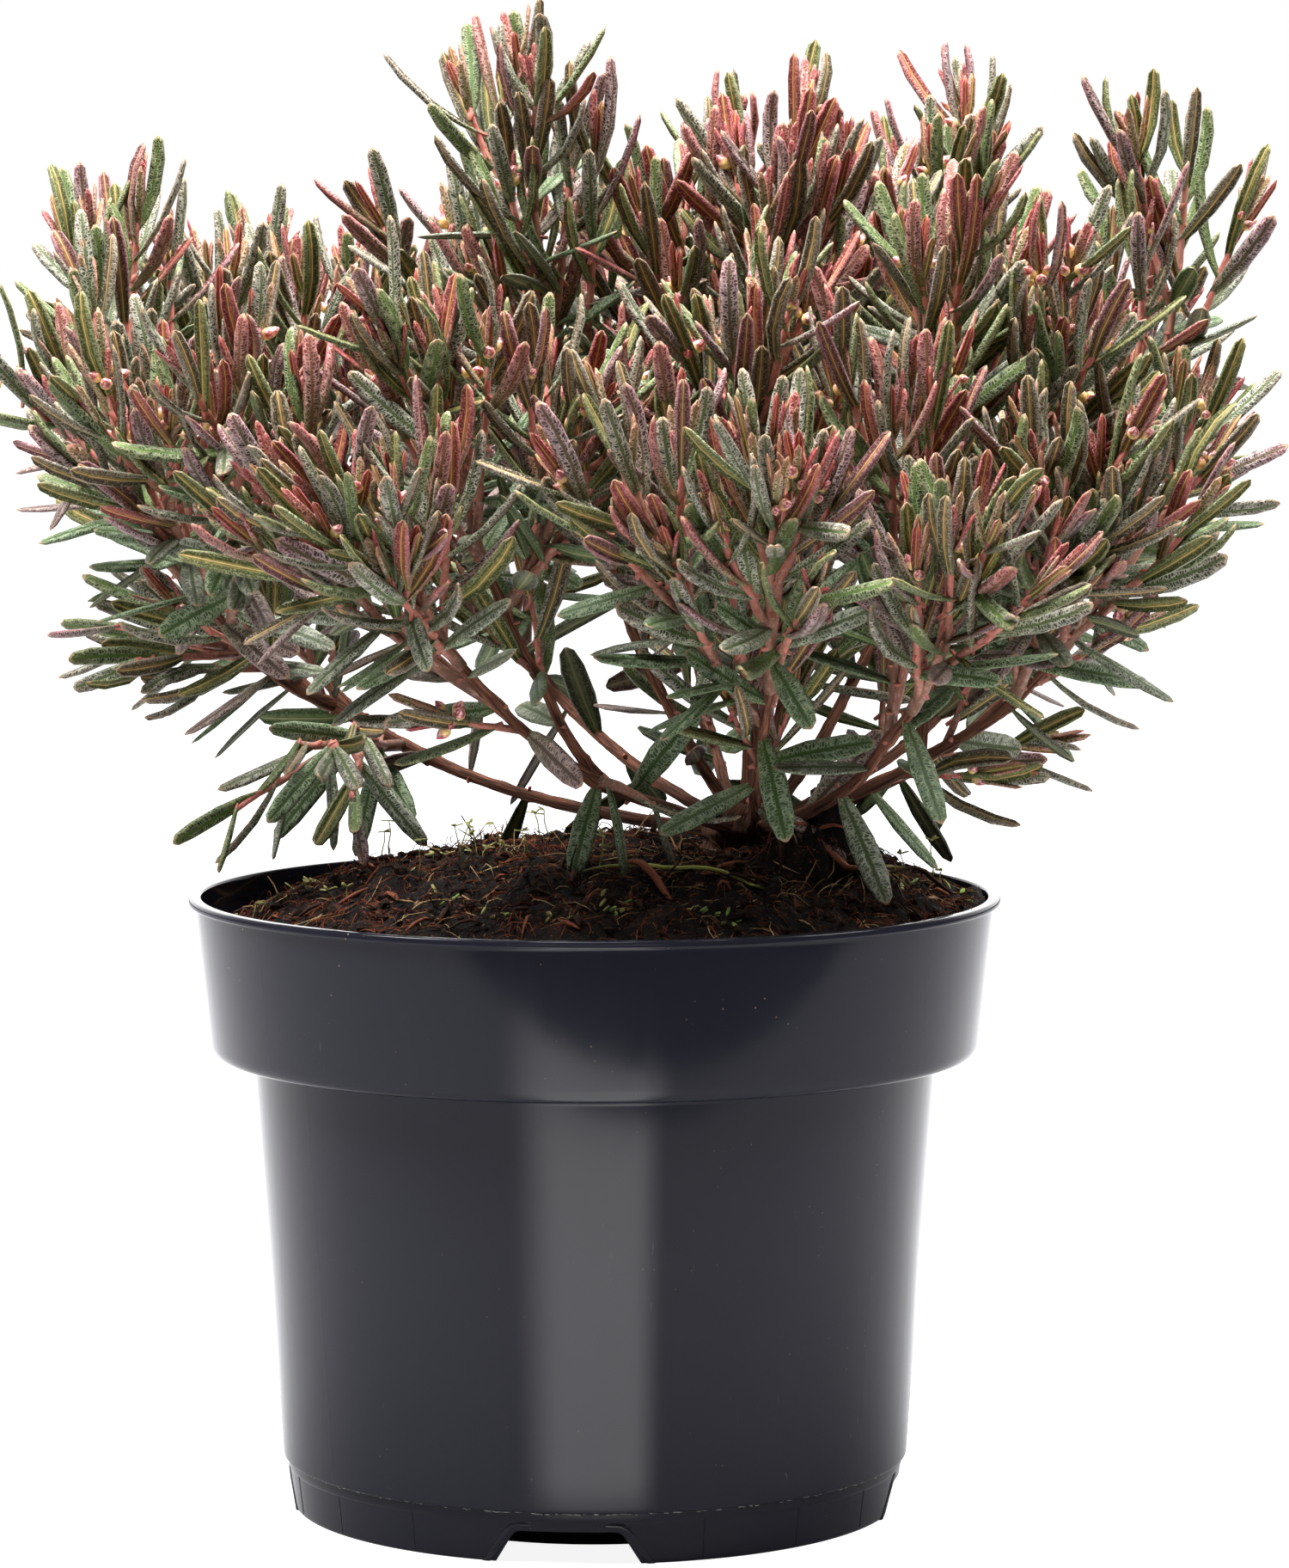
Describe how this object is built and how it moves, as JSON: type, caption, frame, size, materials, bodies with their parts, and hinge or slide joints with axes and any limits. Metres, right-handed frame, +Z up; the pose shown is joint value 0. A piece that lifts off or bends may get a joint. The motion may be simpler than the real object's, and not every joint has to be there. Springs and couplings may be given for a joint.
{
  "type": "potted bog rosemary",
  "caption": "Low many-stemmed evergreen shrub with narrow rolled leaves, rising from a woody crown in a round nursery pot filled with peat.",
  "frame": {"origin": "centre of the flat underside of the pot, on the surface that it stands on", "axes": "+Z up along the pot's axis; +X to the right of the pot's front, as the picture shows it; +Y to its back"},
  "size_m": [0.2993, 0.2769, 0.3511],
  "materials": {
    "pot": "satin black moulded plastic with fine scuffs",
    "peat": "moist dark peat with fibres and bark chips",
    "bark": "smooth brown to red-brown bark with leaf scars",
    "foliage": "leathery grey-green leaves, tinted red and purple towards the tips"
  },
  "bodies": {
    "root": {"bough_back_centre": "bark", "bough_back_left": "bark", "bough_back_right": "bark", "bough_back_right_tall": "bark", "bough_centre": "bark", "bough_centre_back": "bark", "bough_front_centre": "bark", "bough_front_left_high": "bark", "bough_front_left_low": "bark", "bough_front_middle": "bark", "bough_front_right": "bark", "bough_left_back": "bark", "bough_left_front": "bark", "bough_left_long": "bark", "bough_left_tallest": "bark", "bough_right_front": "bark", "bough_right_middle": "bark", "bough_right_tall": "bark", "foliage_back_centre_edge": "foliage", "foliage_back_centre_low": "foliage", "foliage_back_left_edge": "foliage", "foliage_back_left_top": "foliage", "foliage_back_right_edge": "foliage", "foliage_back_right_low": "foliage", "foliage_back_right_side": "foliage", "foliage_back_right_top": "foliage", "foliage_centre_back_top": "foliage", "foliage_centre_top": "foliage", "foliage_centre_top_left": "foliage", "foliage_centre_top_right": "foliage", "foliage_front_centre_edge": "foliage", "foliage_front_centre_low": "foliage", "foliage_front_hanging": "foliage", "foliage_front_left_centre": "foliage", "foliage_front_left_edge": "foliage", "foliage_front_left_side": "foliage", "foliage_front_left_top": "foliage", "foliage_front_middle_top": "foliage", "foliage_front_right_edge": "foliage", "foliage_front_right_top": "foliage", "foliage_left_back_inner": "foliage", "foliage_left_back_tall": "foliage", "foliage_left_front_inner": "foliage", "foliage_left_front_red": "foliage", "foliage_left_hanging": "foliage", "foliage_left_low": "foliage", "foliage_left_outer": "foliage", "foliage_left_tall": "foliage", "foliage_right_front_edge": "foliage", "foliage_right_front_side": "foliage", "foliage_right_hanging": "foliage", "foliage_right_middle_side": "foliage", "foliage_right_middle_top": "foliage", "foliage_right_outer": "foliage", "foliage_right_top": "foliage", "foliage_tallest": "foliage", "foliage_tallest_low": "foliage", "peat": "peat", "pot": "pot", "root_crown": "bark"}
  },
  "joints": []
}
